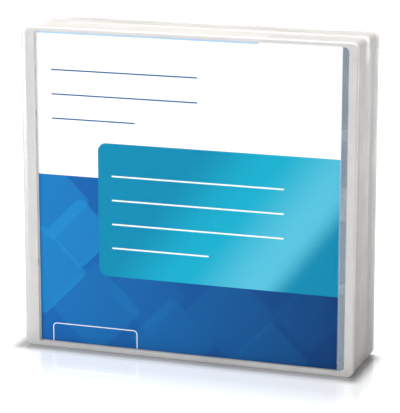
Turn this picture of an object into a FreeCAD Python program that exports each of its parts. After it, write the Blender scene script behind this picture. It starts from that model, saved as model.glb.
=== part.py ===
import FreeCAD, Part
import math
import os

# Half-inch single-reel data tape cartridge standing in its hinged library case, in millimetres.
# Origin at the middle of the case's foot, X to the right, Y to the back, Z up. The cartridge's
# label edge is up, its upper shell faces the front and its reel opening faces the back.

os.makedirs("parts", exist_ok=True)

# Standard sizes of the cartridge and its half-inch tape
cartridge_width = 102.0
cartridge_length = 105.4
tape_width = 12.65

# Library case, and the room that it leaves round the cartridge
case_wall = 1.25
side_gap = 2.4
hinge_side_gap = 10.1
front_gap = 2.2
rest_rib = 1.4
ledge_gap = 1.35
ledge_thickness = 1.2
head_gap = 0.75
case_corner = 2.2
case_edge = 0.45
rim_depth = 3.6
seam = 0.1
hinge_pin_radius = 1.4
hinge_pin_length = 1.7
hinge_play = 0.05
lug_thickness = 1.7
turn_gap = 0.15
lip_depth = 3.3
lip_gap = 0.55
spine_drop = 0.75

# Card behind the front panel and the tabs that hold it
card_thickness = 0.3
card_play = 0.05
card_left = 5.1
card_right = 5.5
card_foot = 1.95
flap_left = 5.5
flap_length = 78.0
flap_depth = 17.6
tab_width = 3.0
tab_thickness = 0.9
tab_reach = 5.0
tab_gap = 0.1
tab_heights = (29.6, 80.8)
middle_tab_width = 10.7
middle_tab_height = 57.95
middle_tab_thickness = 0.6

# Seat of the cartridge in the back shell
seat_gap = 0.3
seat_wall = 1.0
seat_depth = 15.3
seat_front_drop = 4.4
seat_drop = 8.2
seat_slant = 7.8
foot_notch = 7.5
foot_notch_low = 9.0
foot_notch_high = 18.0
finger_notch = 9.0
finger_low = 42.0
finger_high = 70.0
rib_margin = 6.2
rib_spacing = 66.0
rib_width = 1.2
boss_gap = 0.3
latch_height = 0.45
latch_length = 9.0

# Cartridge shells
shell_face = 1.8
shell_wall = 1.6
shell_corner = 2.0
shell_edge = 0.6
tongue = 0.7
tongue_height = 0.8
tongue_gap = 0.08
grip_band = 6.9
grip_slant = 5.8
grip_step = 0.4
fin_count = 9
fin_pitch = 2.0
fin_width = 0.9
fin_height = 0.35
panel_margin = 11.0
panel_step = 0.3
label_step = 0.5
label_length = 74.0
label_inset = 2.4

# Screws
screw_radius = 1.15
screw_length = 12.0
head_radius = 2.3
head_height = 1.5
screw_play = 0.1
screw_boss_radius = 2.9
screw_margin = 5.2
head_screw_inset = 21.85
bay_screw_inset = 13.35
bay_screw_height = 14.5

# Reel, tape and brake
reel_side_gap = 0.9
reel_foot_gap = 1.3
reel_gap = 1.2
reel_front_gap = 1.15
flange_thickness = 1.2
lower_flange_thickness = 1.4
hub_radius = 22.0
hub_wall = 2.5
tape_play = 0.3
flange_margin = 1.6
flange_opening_gap = 2.6
film = 0.2
opening_gap = 1.1
gear_radius = 20.6
gear_width = 4.4
gear_base = 1.05
tooth_height = 1.15
tooth_count = 36
washer_outer = 15.2
washer_inner = 9.5
washer_thickness = 1.0
brake_travel = 1.45
release_gap = 0.3
brake_tooth_outer = 12.6
brake_tooth_inner = 9.4
brake_tooth_base = 1.3
brake_disc = 1.5
spider_thickness = 1.2
spider_arm = 3.4
leg_circle = 17.4
leg_radius = 1.3
leg_play = 0.3
guide_post_radius = 4.5
guide_post_length = 7.5
guide_play = 0.1
key_width = 2.2
brake_wire = 0.7
brake_coils = 4.5

# Leader pin, door and slide
pin_inset = 7.5
pin_radius = 1.25
pin_flange_radius = 2.6
pin_flange = 1.1
pin_play = 0.15
pin_spring_height = 6.2
pin_spring_leaf = 0.5
pin_spring_bridge = 2.2
pin_spring_width = 0.6
clip_wall = 0.8
door_opening = 14.0
door_low = 2.4
door_thickness = 1.5
door_lap = 0.9
door_play = 0.1
door_travel = 13.5
door_tab = 2.0
door_foot_low = 1.0
door_foot_high = 4.6
door_foot_thickness = 1.2
door_wire = 0.3
door_spring_radius = 1.35
door_spring_space = 16.8
slide_length = 8.0
slide_travel = 5.0
slide_thickness = 1.6
slide_width = 8.4
slide_play = 0.15
nub_length = 3.0
slide_inset = 17.3
chip_inset = 13.9
chip_size = 9.0
chip_thickness = 0.8

# Planes and centres that follow from the sizes
reel_stack = reel_front_gap + flange_thickness + tape_play + tape_width + lower_flange_thickness + reel_gap
cartridge_thickness = 2 * shell_face + reel_stack
upper_shell_thickness = cartridge_thickness / 2
reel_radius = min(cartridge_width, cartridge_length) / 2 - shell_wall - reel_side_gap
pack_radius = reel_radius - flange_margin
case_width = cartridge_width + side_gap + hinge_side_gap + 2 * case_wall
case_height = cartridge_length + ledge_gap + ledge_thickness + head_gap + 2 * case_wall
case_depth = cartridge_thickness + front_gap + rest_rib + 2 * case_wall
front = -case_depth / 2
back = case_depth / 2
left = -case_width / 2
right = case_width / 2
panel_front = front + case_wall
panel_back = back - case_wall
seam_plane = back - rim_depth
hinge_x = left + rim_depth
cart_right = right - case_wall - side_gap
cart_left = cart_right - cartridge_width
cart_low = case_wall + ledge_gap + ledge_thickness
cart_high = cart_low + cartridge_length
cart_back = panel_back - rest_rib
cart_front = cart_back - cartridge_thickness
parting = cart_front + upper_shell_thickness
inner_front = cart_front + shell_face
inner_back = cart_back - shell_face
side_inner = cart_right - shell_wall
foot_inner = cart_low + shell_wall
label_inner = cart_high - shell_wall
reel_x = (cart_left + cart_right) / 2
reel_z = cart_low + shell_wall + reel_foot_gap + reel_radius
reel_back = inner_back - reel_gap
web_front = reel_back - lower_flange_thickness
flange_back = web_front - tape_width - tape_play
hub_inner = hub_radius - hub_wall
gear_inner = gear_radius - gear_width
washer_back = reel_back + washer_thickness
hub_tooth_root = web_front - brake_tooth_base
hub_tooth_tip = hub_tooth_root - tooth_height
brake_tip = hub_tooth_tip - release_gap
brake_root = brake_tip - tooth_height
brake_front = brake_root - brake_disc
spider_back = web_front - brake_travel - 0.05
spider_front = spider_back - spider_thickness
pin_x = cart_right - pin_inset
pin_z = cart_low + pin_inset
door_foot = cart_low + door_low
door_head = door_foot + door_opening
door_outer = side_inner - door_play
door_inner = door_outer - door_thickness


def box(x, y, z):
    """A block between the low and high ends of each pair."""
    corner = FreeCAD.Vector(x[0], y[0], z[0])
    return Part.makeBox(x[1] - x[0], y[1] - y[0], z[1] - z[0], corner)


def rounded(x, z, radius, y):
    """A block whose four edges along Y are rounded."""
    block = box(x, y, z)
    along = [e for e in block.Edges if abs(e.tangentAt(e.FirstParameter).y) > 0.9]
    return block.makeFillet(radius, along)


def disc(x, z, radius, y):
    """A round bar along Y between two planes."""
    start = FreeCAD.Vector(x, y[0], z)
    return Part.makeCylinder(radius, y[1] - y[0], start, FreeCAD.Vector(0, 1, 0))


def ring(x, z, outer, inner, y):
    """A round tube along Y between two planes."""
    return disc(x, z, outer, y).cut(disc(x, z, inner, y))


def prism(points, y):
    """An outline of (x, z) points carried along Y."""
    corners = [FreeCAD.Vector(px, y[0], pz) for px, pz in points]
    face = Part.Face(Part.makePolygon(corners + corners[:1]))
    return face.extrude(FreeCAD.Vector(0, y[1] - y[0], 0))


def joined(shapes):
    """All the shapes as one solid with no seams between flush faces."""
    shapes = list(shapes)
    return shapes[0].fuse(shapes[1:]).removeSplitter()


def turned(shape, angle):
    """A copy turned about the reel's axis by an angle in degrees."""
    copy = shape.copy()
    copy.rotate(FreeCAD.Vector(reel_x, 0, reel_z), FreeCAD.Vector(0, 1, 0), angle)
    return copy


def write(name, shape):
    """One STEP file for a sub-part."""
    shape.exportStep("parts/" + name + ".step")


# Library case

def envelope(y):
    """The case's outer outline between two planes."""
    return rounded((left, right), (0, case_height), case_corner, y)


def upright_pin(radius, z):
    """A round bar on the hinge axis."""
    start = FreeCAD.Vector(hinge_x, seam_plane, z[0])
    return Part.makeCylinder(radius, z[1] - z[0], start)


def ears():
    """Round ends of the lid's top and foot walls about the hinge axis, with their pins."""
    low = upright_pin(rim_depth, (0, case_wall))
    high = upright_pin(rim_depth, (case_height - case_wall, case_height))
    plates = low.fuse(high).common(envelope((front, back)))
    low_pin = upright_pin(hinge_pin_radius, (case_wall - 0.2, case_wall + hinge_pin_length))
    top = case_height - case_wall
    high_pin = upright_pin(hinge_pin_radius, (top - hinge_pin_length, top + 0.2))
    return [plates, low_pin, high_pin]


def card_tabs():
    """Round-ended tabs on the lid's right wall, hooks on its left, and one wide clear tab."""
    card_back = panel_front + card_play + card_thickness + tab_gap
    y = (card_back, card_back + tab_thickness)
    inner_right = right - case_wall
    inner_left = left + card_left
    tabs = []
    for height in tab_heights:
        z = (height - tab_width / 2, height + tab_width / 2)
        end = inner_right - tab_reach + tab_width / 2
        tabs.append(box((end, inner_right + 0.2), y, z))
        tabs.append(disc(end, height, tab_width / 2, y))
        tabs.append(box((inner_left - 1.6, inner_left + 1.2), y, z))
        tabs.append(box((inner_left - 1.6, inner_left - 0.2), (panel_front - 0.2, y[1]), z))
    half = middle_tab_width / 2
    z = (middle_tab_height - half, middle_tab_height + half)
    y = (card_back, card_back + middle_tab_thickness)
    tabs.append(box((inner_right - tab_reach, inner_right + 0.2), y, z))
    return tabs


def latch_ridges(x, y):
    """Two short ridges that stand above each other on a side wall."""
    middles = (case_height * 0.3, case_height * 0.7)
    return [box(x, y, (m - latch_length / 2, m + latch_length / 2)) for m in middles]


def case_front_shell():
    """The lid: front panel with deep top, foot and right walls and a shallow left lip."""
    shell = envelope((front, seam_plane - seam))
    edges = [e for e in shell.Edges if all(abs(v.Y - front) < 0.001 for v in e.Vertexes)]
    shell = shell.makeFillet(case_edge, edges)
    inside = box(
        (left + case_wall, right - case_wall),
        (panel_front, back),
        (case_wall, case_height - case_wall),
    )
    corners = [e for e in inside.Edges if abs(e.tangentAt(e.FirstParameter).y) > 0.9]
    inside = inside.makeFillet(case_corner - case_wall, corners)
    open_left = box(
        (left - 1, left + case_corner + case_wall),
        (panel_front + lip_depth, back),
        (case_wall, case_height - case_wall),
    )
    shell = shell.cut([inside, open_left])
    catch = latch_ridges(
        (right - case_wall - latch_height, right - case_wall + 0.2),
        (seam_plane - 2.6, seam_plane - 1.8),
    )
    return joined([shell] + ears() + card_tabs() + catch)


def hinge_lugs():
    """Two eyes in the back shell that the lid's pins turn in."""
    reach = 3.1
    low = (case_wall + turn_gap, case_wall + turn_gap + lug_thickness)
    high = (case_height - low[1], case_height - low[0])
    lugs = []
    for z in (low, high):
        plate = box((left, hinge_x + reach), (seam_plane, panel_back + 0.2), z)
        lugs.append(plate)
        lugs.append(upright_pin(reach, z))
        lugs.append(box((left, hinge_x), (seam_plane - reach, seam_plane + 0.1), z))
    return lugs


def side_profile(x, points):
    """An outline of (y, z) points carried along X."""
    corners = [FreeCAD.Vector(x[0], py, pz) for py, pz in points]
    face = Part.Face(Part.makePolygon(corners + corners[:1]))
    return face.extrude(FreeCAD.Vector(x[1] - x[0], 0, 0))


def seat_outline(low, y):
    """A seat wall seen from the side: slanted top, and a three-cornered notch near the foot."""
    return (
        (y[1], low),
        (y[0], low),
        (y[0], foot_notch_low),
        (y[0] + foot_notch, foot_notch_low),
        (y[0], foot_notch_high),
        (y[0], cart_high - seat_front_drop),
        (y[0] + seat_slant, cart_high - seat_drop),
        (y[1], cart_high - seat_drop),
    )


def seat_walls():
    """Ledge under the cartridge, walls at its sides and ribs behind it."""
    low = cart_low - ledge_thickness
    y = (panel_back - seat_depth, panel_back + 0.2)
    right_wall = (cart_right + seat_gap, cart_right + seat_gap + seat_wall)
    left_wall = (cart_left - seat_gap - seat_wall, cart_left - seat_gap)
    walls = [box((left_wall[0], right_wall[1]), y, (low, cart_low))]
    walls.append(side_profile(right_wall, seat_outline(low, y)))
    fingers = box(
        (left_wall[0] - 1, left_wall[1] + 1), (y[0] - 1, y[0] + finger_notch), (finger_low, finger_high)
    )
    round_edges = [
        e for e in fingers.Edges
        if abs(e.tangentAt(e.FirstParameter).x) > 0.9 and all(v.Y > y[0] for v in e.Vertexes)
    ]
    fingers = fingers.makeFillet(4.0, round_edges)
    walls.append(side_profile(left_wall, seat_outline(low, y)).cut(fingers))
    for side in (-1, 1):
        middle = reel_x + side * rib_spacing / 2
        rib_x = (middle - rib_width / 2, middle + rib_width / 2)
        walls.append(box(rib_x, (cart_back, panel_back + 0.2), (low + 4, cart_high - rib_margin)))
    walls += latch_ridges(
        (right_wall[1] - 0.1, right_wall[1] + latch_height),
        (seam_plane - 3.8, seam_plane - 3.0),
    )
    return walls


def hub_boss():
    """A ring under the reel's washer and a wider one that enters the reel opening."""
    bearing = ring(
        reel_x, reel_z, washer_outer - 0.4, washer_inner + 0.9, (washer_back + boss_gap, panel_back + 0.2)
    )
    opening = gear_radius + opening_gap
    centring = ring(reel_x, reel_z, opening - 0.3, opening - 1.3, (cart_back - 0.6, panel_back + 0.2))
    ribs = []
    for step in range(6):
        rib = box(
            (reel_x + washer_outer - 0.6, reel_x + opening - 1.1),
            (cart_back + 0.1, panel_back + 0.2),
            (reel_z - 0.5, reel_z + 0.5),
        )
        ribs.append(turned(rib, 60 * step))
    return [bearing, centring] + ribs


def case_back_shell():
    """The base: back panel with a shallow rim, spine wall, hinge eyes, seat and hub boss."""
    ear_clear = hinge_x + rim_depth + 2 * turn_gap
    panel = envelope((panel_back, back))
    rim = envelope((seam_plane, back)).cut(
        rounded(
            (left + case_wall, right - case_wall),
            (case_wall, case_height - case_wall),
            case_corner - case_wall,
            (seam_plane - 1, panel_back),
        )
    )
    spine_foot = case_wall + spine_drop
    spine = envelope((panel_front + lip_depth + lip_gap, back)).common(
        box((left - 1, left + case_wall), (front, back), (spine_foot, case_height - spine_foot))
    )
    shell = joined([panel, rim, spine] + hinge_lugs() + seat_walls() + hub_boss())
    shell = shell.common(envelope((front, back)))
    low = box((left - 1, ear_clear), (front, back + 1), (-1, case_wall + turn_gap))
    top = case_height - case_wall - turn_gap
    high = box((left - 1, ear_clear), (front, back + 1), (top, case_height + 1))
    eyes = upright_pin(hinge_pin_radius + hinge_play, (0, case_height))
    return shell.cut([low, high, eyes]).removeSplitter()


def insert_card():
    """The printed card: a sheet behind the front panel with one flap folded back at its top."""
    top = case_height - case_wall - 0.15
    card_front = panel_front + card_play
    sheet = box(
        (left + card_left, right - card_right),
        (card_front, card_front + card_thickness),
        (card_foot, top),
    )
    flap = box(
        (left + flap_left, left + flap_left + flap_length),
        (card_front, panel_front + flap_depth),
        (top - card_thickness, top),
    )
    card = joined([sheet, flap])
    fold = [
        e for e in card.Edges
        if all(abs(v.Y - card_front) < 0.001 and abs(v.Z - top) < 0.001 for v in e.Vertexes)
    ]
    return card.makeFillet(card_thickness * 0.8, fold)


# Cartridge shells

def shell_block(inset, y):
    """The cartridge's outline, taken in on all sides, between two planes."""
    radius = max(shell_corner - inset, 0.4)
    return rounded(
        (cart_left + inset, cart_right - inset),
        (cart_low + inset, cart_high - inset),
        radius,
        y,
    )


def outer_shell(y, face_plane):
    """A solid half of the cartridge with its outer face's edges chamfered."""
    block = shell_block(0, y)
    edges = [e for e in block.Edges if all(abs(v.Y - face_plane) < 0.001 for v in e.Vertexes)]
    return block.makeChamfer(shell_edge, edges)


def corner_ribs(y):
    """Round walls beside the reel in the three corners with room for them."""
    wall = ring(reel_x, reel_z, reel_radius + 1.9, reel_radius + 0.9, y)
    inside = shell_block(shell_wall - 0.2, y)
    reach = reel_radius * 0.45
    ribs = []
    for side, level in ((-1, -1), (-1, 1), (1, 1)):
        x = sorted((reel_x + side * reach, reel_x + side * cartridge_width))
        z = sorted((reel_z + level * reach, reel_z + level * cartridge_length))
        ribs.append(wall.common(box(x, y, z)).common(inside))
    return ribs


def screw_places():
    """The four screws: three in the corners, and one inside the leader pin's bay."""
    return (
        (cart_left + screw_margin, cart_low + screw_margin),
        (cart_left + screw_margin, cart_high - screw_margin - 0.5),
        (cart_right - head_screw_inset, cart_high - screw_margin - 0.1),
        (cart_right - bay_screw_inset, cart_low + bay_screw_height),
    )


def pin_seat(y):
    """A U-shaped wall that the leader pin's end sits in, open to the door."""
    outer = pin_flange_radius + pin_play + 1.1
    inner = pin_flange_radius + pin_play
    tube = ring(pin_x, pin_z, outer, inner, y)
    mouth = box((pin_x, pin_x + outer + 1), y, (pin_z - inner, pin_z + inner))
    return tube.cut(mouth)


def door_cut():
    """The door's opening through the right wall, with the slot that its tab runs in."""
    x = (side_inner - 1, cart_right + 1)
    opening = box(x, (inner_front + 1.25, inner_back - 1.15), (door_foot, door_head))
    slot = box(x, (parting - 4.3, parting + 4.3), (door_foot, door_foot + door_tab + door_travel + 0.6))
    return [opening, slot]


def slide_window():
    """The write-protect window through the label edge's wall."""
    start = cart_right - slide_inset + (slide_length - nub_length) / 2
    x = (start - 0.2, start + nub_length + slide_travel + 0.2)
    return box(x, (parting - 2.5, parting + 2.5), (label_inner - 1, cart_high + 1))


def label_recess():
    """The shallow place for a label along the label edge."""
    x = (cart_left + 7.0, cart_left + 7.0 + label_length)
    y = (cart_front + label_inset, cart_back - label_inset)
    return box(x, y, (cart_high - label_step, cart_high + 1))


def grip_cut():
    """The lowered band along the label edge, with slanted ends."""
    low = cart_high - grip_band
    points = [
        (cart_left - 1, cart_high + 1),
        (cart_left - 1, low - grip_slant - 1),
        (cart_left, low - grip_slant),
        (cart_left + grip_slant, low),
        (cart_right - grip_slant, low),
        (cart_right, low - grip_slant),
        (cart_right + 1, low - grip_slant - 1),
        (cart_right + 1, cart_high + 1),
    ]
    return prism(points, (cart_front - 1, cart_front + grip_step))


def grip_fins(plane):
    """Upright fins at both ends of the grip band."""
    low = cart_high - grip_band + 1.4
    fins = []
    for side in (-1, 1):
        for step in range(fin_count):
            middle = reel_x + side * (cartridge_width / 2 - 6.5 - step * fin_pitch)
            x = (middle - fin_width / 2, middle + fin_width / 2)
            fins.append(box(x, (plane - fin_height, plane + 0.2), (low, cart_high - 1.8)))
    return fins


def slide_guides(y, shelf_y):
    """A block beside the write-protect slide and the shelf that it runs on."""
    low = label_inner - slide_play - slide_thickness - 1.2
    x = (cart_right - slide_inset - 0.3, cart_right - slide_inset + slide_length + slide_travel + 0.3)
    return [box(x, y, (low, label_inner + 0.2)), box(x, shelf_y, (low, low + 1.1))]


def cartridge_upper_shell():
    """The front half: grip band, recessed panel, guide post for the brake and screw bosses."""
    shell = outer_shell((cart_front, parting), cart_front)
    shell = shell.cut(shell_block(shell_wall, (inner_front, parting + 1)))
    rim = shell_block(shell_wall - tongue, (parting - 0.5, parting + tongue_height))
    rim = rim.cut(shell_block(shell_wall, (parting - 1, parting + tongue_height + 1)))
    inside = (inner_front - 0.2, parting)
    parts = [shell, rim] + corner_ribs(inside)
    parts += [disc(x, z, screw_boss_radius, inside) for x, z in screw_places()]
    parts.append(disc(reel_x, reel_z, guide_post_radius, (inside[0], inner_front + guide_post_length)))
    parts.append(pin_seat((inner_front - 0.2, inner_front + pin_play + pin_flange)))
    guide_z = (door_head + 1, door_head + 1 + door_spring_space)
    parts.append(box((door_inner - 1.2, door_inner - 0.1), (inside[0], inner_front + 1.6), guide_z))
    half = slide_width / 2 + slide_play
    parts += slide_guides((inside[0], parting - half), (inside[0], parting - 2.6))
    shell = joined(parts)
    slot = box(
        (reel_x - guide_post_radius - 1, reel_x + guide_post_radius + 1),
        (inner_front + 2.0, parting),
        (reel_z - key_width / 2 - guide_play, reel_z + key_width / 2 + guide_play),
    )
    pilot = (inner_front + 1, parting + 1)
    pilots = [disc(x, z, screw_radius + screw_play, pilot) for x, z in screw_places()]
    panel = rounded(
        (cart_left + panel_margin, cart_right - panel_margin),
        (cart_low + panel_margin, cart_high - grip_band - panel_margin / 2),
        3.0,
        (cart_front - 1, cart_front + panel_step),
    )
    shell = shell.cut([slot, panel, grip_cut(), slide_window(), label_recess()] + pilots + door_cut())
    return joined([shell] + grip_fins(cart_front + grip_step))


def cartridge_lower_shell():
    """The back half: reel opening, counterbored screw bosses, locating holes and chip rests."""
    shell = outer_shell((parting, cart_back), cart_back)
    shell = shell.cut(shell_block(shell_wall, (parting - 1, inner_back)))
    groove_end = parting + tongue_height + tongue_gap
    shell = shell.cut(shell_block(shell_wall - tongue - tongue_gap, (parting - 1, groove_end)))
    inside = (parting + tongue_height + 0.2, inner_back + 0.2)
    tall = (parting, inner_back + 0.2)
    opening = gear_radius + opening_gap
    parts = [shell] + corner_ribs(inside)
    parts += [disc(x, z, screw_boss_radius, tall) for x, z in screw_places()]
    parts.append(disc(reel_x, reel_z, opening + 1.2, (inner_back - 0.7, inner_back + 0.2)))
    parts.append(pin_seat((inner_back - pin_play - pin_flange, inner_back + 0.2)))
    guide_z = (door_head + 1, door_head + 1 + door_spring_space)
    parts.append(box((door_inner - 1.2, door_inner - 0.1), (inner_back - 1.6, inside[1]), guide_z))
    stop = door_head + 1.3 + door_spring_space
    parts.append(box((door_inner - 1.35, side_inner + 0.2), (parting + 1, inside[1]), (stop, stop + 1.2)))
    half = slide_width / 2 + slide_play
    parts += slide_guides((parting + half, inside[1]), (parting + 2.6, inside[1]))
    parts += [wedge.common(shell_block(shell_wall - 0.2, tall)) for wedge in chip_rests()]
    datum = ((cart_left + 9.5, cart_low + 10.5), (cart_right - 20.5, cart_low + 6.6))
    parts += [disc(x, z, 3.7, (inner_back - 1.6, inner_back + 0.2)) for x, z in datum]
    shell = joined(parts)
    cuts = [disc(reel_x, reel_z, opening, (parting, cart_back + 1)), slide_window(), label_recess()]
    for x, z in screw_places():
        cuts.append(disc(x, z, screw_radius + screw_play, (parting - 1, cart_back + 1)))
        cuts.append(disc(x, z, head_radius + screw_play, (cart_back - 2.4, cart_back + 1)))
    cuts.append(disc(datum[0][0], datum[0][1], 2.0, (cart_back - 2.6, cart_back + 1)))
    slot = rounded(
        (datum[1][0] - 2.8, datum[1][0] + 2.8),
        (datum[1][1] - 2.0, datum[1][1] + 2.0),
        1.99,
        (cart_back - 2.6, cart_back + 1),
    )
    return shell.cut(cuts + [slot] + door_cut()).removeSplitter()


def chip_plane():
    """The sum of Y and Z on the slope that the memory chip lies on."""
    return inner_back + label_inner - 17.1


def chip_rests():
    """Two wedges with a 45 degree face that carry the memory chip."""
    total = chip_plane()
    rests = []
    for x in (cart_right - chip_inset + 0.5, cart_right - chip_inset + chip_size - 1.5):
        low = FreeCAD.Vector(x, inner_back + 0.2, total - inner_back - 0.2)
        high = FreeCAD.Vector(x, inner_back + 0.2, total - parting - 1.5)
        tip = FreeCAD.Vector(x, parting + 1.5, total - parting - 1.5)
        face = Part.Face(Part.makePolygon([low, high, tip, low]))
        rests.append(face.extrude(FreeCAD.Vector(1.3, 0, 0)))
    return rests


def memory_chip():
    """The memory chip's carrier, tilted between the label edge and the back face."""
    x = (cart_right - chip_inset, cart_right - chip_inset + chip_size)
    plate = box(x, (-chip_thickness, 0), (-chip_size / 2, chip_size / 2))
    coil = box((x[0] + 1.2, x[1] - 1.2), (-chip_thickness - 0.3, -chip_thickness), (-3.0, 3.0))
    chip = joined([plate, coil])
    chip.rotate(FreeCAD.Vector(0, 0, 0), FreeCAD.Vector(1, 0, 0), 45)
    middle = (inner_back + parting + 1.5) / 2
    chip.translate(FreeCAD.Vector(0, middle, chip_plane() - middle))
    return chip


def shell_screws():
    """Four pan-head screws from the back, one solid each."""
    screws = []
    seat = cart_back - 2.4
    for x, z in screw_places():
        shank = disc(x, z, screw_radius, (seat - screw_length, seat + 0.1))
        head = disc(x, z, head_radius, (seat, seat + head_height))
        rim = [e for e in head.Edges if all(abs(v.Y - seat - head_height) < 0.001 for v in e.Vertexes)]
        head = head.makeFillet(0.5, rim)
        cross = [
            box((x - 1.4, x + 1.4), (seat + 0.7, seat + 2), (z - 0.3, z + 0.3)),
            box((x - 0.3, x + 0.3), (seat + 0.7, seat + 2), (z - 1.4, z + 1.4)),
        ]
        screws.append(joined([shank, head]).cut(cross))
    return Part.makeCompound(screws)


# Reel, tape and brake

def face_teeth(outer, inner, root, tip, first, leg_room):
    """Radial teeth between two radii, tapered from root plane to tip plane. The room is the
    angle beside each leg of the release spider that stays without teeth."""
    pitch = 360 / tooth_count
    mean = (outer + inner) / 2
    half_root = mean * math.radians(pitch) * 0.24
    half_tip = half_root * 0.62
    points = [
        FreeCAD.Vector(reel_x + inner, root, reel_z - half_root),
        FreeCAD.Vector(reel_x + inner, tip, reel_z - half_tip),
        FreeCAD.Vector(reel_x + inner, tip, reel_z + half_tip),
        FreeCAD.Vector(reel_x + inner, root, reel_z + half_root),
    ]
    face = Part.Face(Part.makePolygon(points + points[:1]))
    tooth = face.extrude(FreeCAD.Vector(outer - inner, 0, 0))
    angles = [first + pitch * step for step in range(tooth_count)]
    return [turned(tooth, angle) for angle in angles if from_leg(angle) >= leg_room]


def from_leg(angle):
    """The angle between a tooth and the nearest of the release spider's legs."""
    return min(abs((angle - leg + 180) % 360 - 180) for leg in leg_angles())


def leg_angles():
    """Angles of the release spider's legs about the reel's axis."""
    return (30, 150, 270)


def on_leg(angle):
    """The middle of a leg in the XZ plane."""
    turn = math.radians(angle)
    return reel_x + leg_circle * math.cos(turn), reel_z - leg_circle * math.sin(turn)


def reel_hub():
    """Hub, lower flange, outer gear ring and inner brake teeth, moulded as one piece."""
    gear_root = reel_back + gear_base - 0.1
    gear_tip = gear_root + tooth_height
    parts = [
        ring(reel_x, reel_z, hub_radius, hub_inner, (flange_back, reel_back)),
        disc(reel_x, reel_z, reel_radius, (web_front, reel_back)),
        ring(reel_x, reel_z, gear_radius, gear_inner, (reel_back - 0.1, reel_back + gear_base)),
        ring(reel_x, reel_z, brake_tooth_outer, brake_tooth_inner, (hub_tooth_root, web_front + 0.1)),
    ]
    parts += face_teeth(gear_radius - 0.1, gear_inner + 0.1, gear_root, gear_tip, 0, 7)
    parts += face_teeth(
        brake_tooth_outer - 0.1, brake_tooth_inner + 0.1, hub_tooth_root + 0.1, hub_tooth_tip, 0, 16
    )
    hub = joined(parts)
    cuts = []
    half = spider_arm / 2 + 0.5
    for angle in leg_angles():
        x, z = on_leg(angle)
        cuts.append(disc(x, z, leg_radius + leg_play, (web_front - 1, gear_tip + 1)))
        lane = box(
            (reel_x + brake_tooth_inner - 1.5, reel_x + brake_tooth_outer + 1.5),
            (hub_tooth_tip - 1, web_front),
            (reel_z - half, reel_z + half),
        )
        cuts.append(turned(lane, angle))
    return hub.cut(cuts).removeSplitter()


def reel_upper_flange():
    """The welded upper flange, with a lip inside the hub and an opening over the brake."""
    opening = brake_tooth_outer + flange_opening_gap
    plate = ring(reel_x, reel_z, reel_radius, opening, (flange_back - flange_thickness, flange_back))
    lip = ring(
        reel_x, reel_z, hub_inner - 0.1, hub_inner - 1.1, (flange_back - 0.1, flange_back + 1.6)
    )
    return joined([plate, lip])


def hub_washer():
    """The steel plate that the drive's magnet holds."""
    return ring(reel_x, reel_z, washer_outer, washer_inner, (reel_back, washer_back))


def brake_plate():
    """The toothed brake: disc, face teeth, keyed tube round the guide post and centre button."""
    tube_front = inner_front + guide_post_length - 3.0
    tube_inner = guide_post_radius + guide_play
    parts = [
        disc(reel_x, reel_z, brake_tooth_outer + 0.4, (brake_front, brake_root)),
        ring(reel_x, reel_z, tube_inner + 1.4, tube_inner, (tube_front, brake_front + 0.1)),
        box(
            (reel_x - tube_inner - 0.3, reel_x + tube_inner + 0.3),
            (tube_front, brake_front + 0.1),
            (reel_z - key_width / 2, reel_z + key_width / 2),
        ),
        disc(reel_x, reel_z, 2.0, (brake_root - 0.1, spider_front - 0.03)),
    ]
    half_pitch = 180 / tooth_count
    parts += face_teeth(
        brake_tooth_outer - 0.1, brake_tooth_inner + 0.1, brake_root - 0.1, brake_tip, half_pitch, 0
    )
    return joined(parts)


def release_spider():
    """The three-legged release plate inside the hub."""
    parts = [disc(reel_x, reel_z, brake_tooth_inner - 1.9, (spider_front, spider_back))]
    for angle in leg_angles():
        x, z = on_leg(angle)
        arm = box(
            (reel_x, reel_x + leg_circle),
            (spider_front, spider_back),
            (reel_z - spider_arm / 2, reel_z + spider_arm / 2),
        )
        parts.append(turned(arm, angle))
        parts.append(disc(x, z, spider_arm / 2, (spider_front, spider_back)))
        parts.append(disc(x, z, leg_radius, (spider_back - 0.1, reel_back + gear_base - 0.4)))
    return joined(parts)


def tape_pack():
    """The wound tape as one ring."""
    middle = (flange_back + web_front) / 2
    return ring(
        reel_x, reel_z, pack_radius, hub_radius, (middle - tape_width / 2, middle + tape_width / 2)
    )


def tape_end():
    """The free end of the tape, from round the pack to the leader pin, thicker than real."""
    radius = pack_radius + 0.35
    away = math.hypot(pin_x - reel_x, pin_z - reel_z)
    toward = math.atan2(pin_z - reel_z, pin_x - reel_x)
    leave = toward - math.acos(radius / away)
    start = leave - math.radians(30)

    def at(distance, angle):
        return FreeCAD.Vector(
            reel_x + distance * math.cos(angle), 0, reel_z + distance * math.sin(angle)
        )

    run = math.sqrt(away ** 2 - radius ** 2) - pin_radius - clip_wall * 0.5
    along = FreeCAD.Vector(-math.sin(leave), 0, math.cos(leave)) * run
    sides = []
    for distance in (radius - film / 2, radius + film / 2):
        arc = Part.Arc(at(distance, start), at(distance, (start + leave) / 2), at(distance, leave))
        corner = at(distance, leave)
        sides.append((arc.toShape(), corner, corner + along, at(distance, start)))
    inner, outer = sides
    edges = [
        inner[0],
        Part.makeLine(inner[1], inner[2]),
        Part.makeLine(inner[2], outer[2]),
        Part.makeLine(outer[2], outer[1]),
        outer[0],
        Part.makeLine(outer[3], inner[3]),
    ]
    face = Part.Face(Part.Wire(Part.sortEdges(edges)[0]))
    strip = face.extrude(FreeCAD.Vector(0, tape_width, 0))
    strip.translate(FreeCAD.Vector(0, (flange_back + web_front) / 2 - tape_width / 2, 0))
    return strip


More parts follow.
